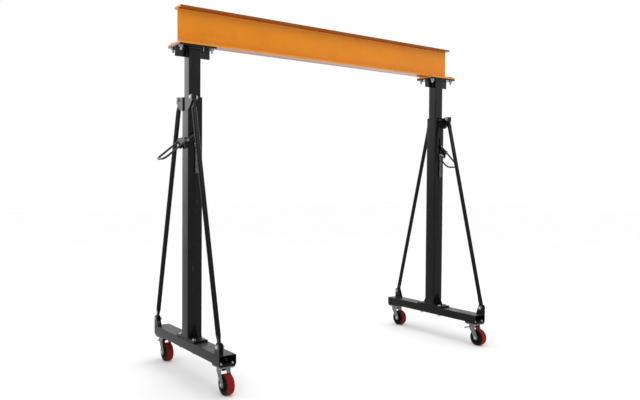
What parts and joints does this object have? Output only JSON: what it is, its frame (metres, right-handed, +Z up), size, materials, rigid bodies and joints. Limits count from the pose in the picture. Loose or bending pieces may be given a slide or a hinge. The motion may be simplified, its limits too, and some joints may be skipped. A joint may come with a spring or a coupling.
{
  "type": "portable gantry crane",
  "caption": "Portable gantry crane: an I-beam on two height-adjustable legs with braced bases, jacking levers, chained lock pins and swivel casters.",
  "frame": {"origin": "on the floor, in the middle of the crane's outline, with the beam at its lowest", "axes": "+X along the beam, +Y along the base tubes towards the side away from the lock pins, +Z up"},
  "size_m": [2.6798, 1.1242, 2.42],
  "materials": {
    "beam_paint": "satin orange paint on the rolled beam and its end plates",
    "frame_paint": "glossy black paint",
    "zinc": "dull zinc plate on pressed steel",
    "bright_zinc": "bright zinc plate on fasteners, pins and chain",
    "wheel_core": "black cast core",
    "tread": "dark red moulded tread"
  },
  "bodies": {
    "left_leg": {"left_base_tube": "frame_paint", "left_strut_lugs": "frame_paint", "left_foot_plate": "frame_paint", "left_foot_gussets": "frame_paint", "left_foot_bolts": "bright_zinc", "left_outer_column": "frame_paint", "left_near_strut": "frame_paint", "left_far_strut": "frame_paint", "left_strut_ears": "frame_paint", "left_strut_bolts": "bright_zinc", "left_lever_bracket": "frame_paint", "left_column_bolts": "bright_zinc", "left_chain": "bright_zinc", "left_caster_plates": "zinc", "left_caster_bolts": "bright_zinc"},
    "beam": {"beam": "beam_paint", "beam_plates": "beam_paint", "head_bolts": "bright_zinc", "left_inner_column": "frame_paint", "left_head_plate": "frame_paint", "right_inner_column": "frame_paint", "right_head_plate": "frame_paint"},
    "right_leg": {"right_base_tube": "frame_paint", "right_strut_lugs": "frame_paint", "right_foot_plate": "frame_paint", "right_foot_gussets": "frame_paint", "right_foot_bolts": "bright_zinc", "right_outer_column": "frame_paint", "right_near_strut": "frame_paint", "right_far_strut": "frame_paint", "right_strut_ears": "frame_paint", "right_strut_bolts": "bright_zinc", "right_lever_bracket": "frame_paint", "right_column_bolts": "bright_zinc", "right_chain": "bright_zinc", "right_caster_plates": "zinc", "right_caster_bolts": "bright_zinc"},
    "left_lever": {"left_lift_lever": "frame_paint"},
    "left_lock": {"left_lock_pin": "bright_zinc"},
    "left_near_swivel": {"left_near_fork": "zinc", "left_near_axle": "bright_zinc"},
    "left_near_roller": {"left_near_wheel": "wheel_core", "left_near_tyre": "tread"},
    "left_far_swivel": {"left_far_fork": "zinc", "left_far_axle": "bright_zinc"},
    "left_far_roller": {"left_far_wheel": "wheel_core", "left_far_tyre": "tread"},
    "left_far_pedal": {"left_far_brake_pedal": "zinc"},
    "right_lever": {"right_lift_lever": "frame_paint"},
    "right_lock": {"right_lock_pin": "bright_zinc"},
    "right_near_swivel": {"right_near_fork": "zinc", "right_near_axle": "bright_zinc"},
    "right_near_roller": {"right_near_wheel": "wheel_core", "right_near_tyre": "tread"},
    "right_near_pedal": {"right_near_brake_pedal": "zinc"},
    "right_far_swivel": {"right_far_fork": "zinc", "right_far_axle": "bright_zinc"},
    "right_far_roller": {"right_far_wheel": "wheel_core", "right_far_tyre": "tread"}
  },
  "joints": [
    {"name": "beam_lift", "type": "slide", "parent": "left_leg", "child": "beam", "axis": [0, 0, 1], "range_m": [0, 1.224]},
    {"name": "right_leg_drop", "type": "slide", "parent": "beam", "child": "right_leg", "axis": [0, 0, -1], "range_m": [0, 1.224]},
    {"name": "left_lever_swing", "type": "hinge", "parent": "left_leg", "child": "left_lever", "pos_m": [-1.179, 0.00644, 1.552], "axis": [0, 1, 0], "range_deg": [0, 40]},
    {"name": "left_lock_push", "type": "slide", "parent": "left_leg", "child": "left_lock", "axis": [0, 1, 0], "range_m": [0, 0.012]},
    {"name": "left_near_swivel_turn", "type": "hinge", "parent": "left_leg", "child": "left_near_swivel", "pos_m": [-1.114, -0.45856, 0.16], "axis": [0, 0, 1], "continuous": true},
    {"name": "left_near_wheel_roll", "type": "hinge", "parent": "left_near_swivel", "child": "left_near_roller", "pos_m": [-1.114, -0.49856, 0.0635], "axis": [1, 0, 0], "continuous": true},
    {"name": "left_far_swivel_turn", "type": "hinge", "parent": "left_leg", "child": "left_far_swivel", "pos_m": [-1.114, 0.47144, 0.16], "axis": [0, 0, 1], "continuous": true},
    {"name": "left_far_wheel_roll", "type": "hinge", "parent": "left_far_swivel", "child": "left_far_roller", "pos_m": [-1.114, 0.43144, 0.0635], "axis": [1, 0, 0], "continuous": true},
    {"name": "left_far_brake_press", "type": "hinge", "parent": "left_far_swivel", "child": "left_far_pedal", "pos_m": [-1.114, 0.49644, 0.1447], "axis": [-1, 0, 0], "range_deg": [0, 10], "stiffness_Nm_per_rad": 3, "springref_deg": -5.73},
    {"name": "right_lever_swing", "type": "hinge", "parent": "right_leg", "child": "right_lever", "pos_m": [1.179, 0.00644, 1.552], "axis": [0, -1, 0], "range_deg": [0, 40]},
    {"name": "right_lock_push", "type": "slide", "parent": "right_leg", "child": "right_lock", "axis": [0, 1, 0], "range_m": [0, 0.012]},
    {"name": "right_near_swivel_turn", "type": "hinge", "parent": "right_leg", "child": "right_near_swivel", "pos_m": [1.114, -0.45856, 0.16], "axis": [0, 0, 1], "continuous": true},
    {"name": "right_near_wheel_roll", "type": "hinge", "parent": "right_near_swivel", "child": "right_near_roller", "pos_m": [1.114, -0.49856, 0.0635], "axis": [1, 0, 0], "continuous": true},
    {"name": "right_near_brake_press", "type": "hinge", "parent": "right_near_swivel", "child": "right_near_pedal", "pos_m": [1.114, -0.43356, 0.1447], "axis": [-1, 0, 0], "range_deg": [0, 10], "stiffness_Nm_per_rad": 3, "springref_deg": -5.73},
    {"name": "right_far_swivel_turn", "type": "hinge", "parent": "right_leg", "child": "right_far_swivel", "pos_m": [1.114, 0.47144, 0.16], "axis": [0, 0, 1], "continuous": true},
    {"name": "right_far_wheel_roll", "type": "hinge", "parent": "right_far_swivel", "child": "right_far_roller", "pos_m": [1.114, 0.43144, 0.0635], "axis": [1, 0, 0], "continuous": true}
  ],
  "couplings": [
    {"joint": "right_leg_drop", "follows": "beam_lift", "ratio": 1}
  ]
}
